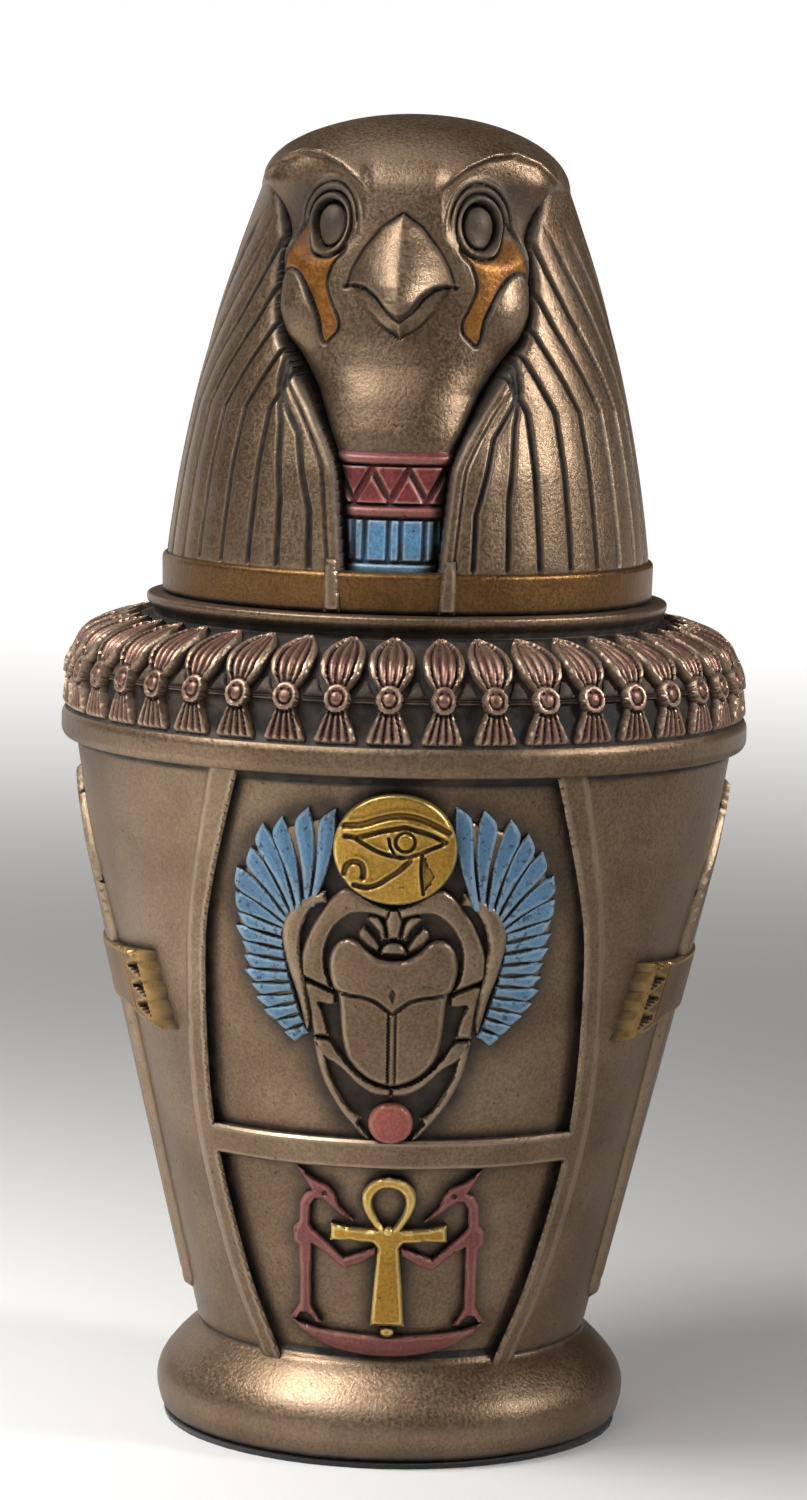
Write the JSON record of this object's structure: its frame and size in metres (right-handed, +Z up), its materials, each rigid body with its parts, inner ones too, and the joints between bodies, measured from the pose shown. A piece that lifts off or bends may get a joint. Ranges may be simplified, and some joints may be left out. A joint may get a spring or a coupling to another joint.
{
  "type": "canopic jar",
  "caption": "Small hollow urn in bronze-finished cast resin: tapering body with a lotus frieze and winged scarab panel, and a falcon-headed lid that lifts off.",
  "frame": {"origin": "centre of the felt pad's underside", "axes": "+Z up along the jar's turning axis, front with the beak and the scarab facing -Y, +X to the viewer's right"},
  "size_m": [0.101, 0.1012, 0.1924],
  "materials": {
    "bronze_resin": "cold-cast bronze resin, dark wash in the recesses, rubbed bright on the high points, gold, blue and red paint on the ornament",
    "felt": "black pressed felt"
  },
  "bodies": {
    "root": {"jar": "bronze_resin", "lid": "bronze_resin", "felt_pad": "felt"}
  },
  "joints": []
}
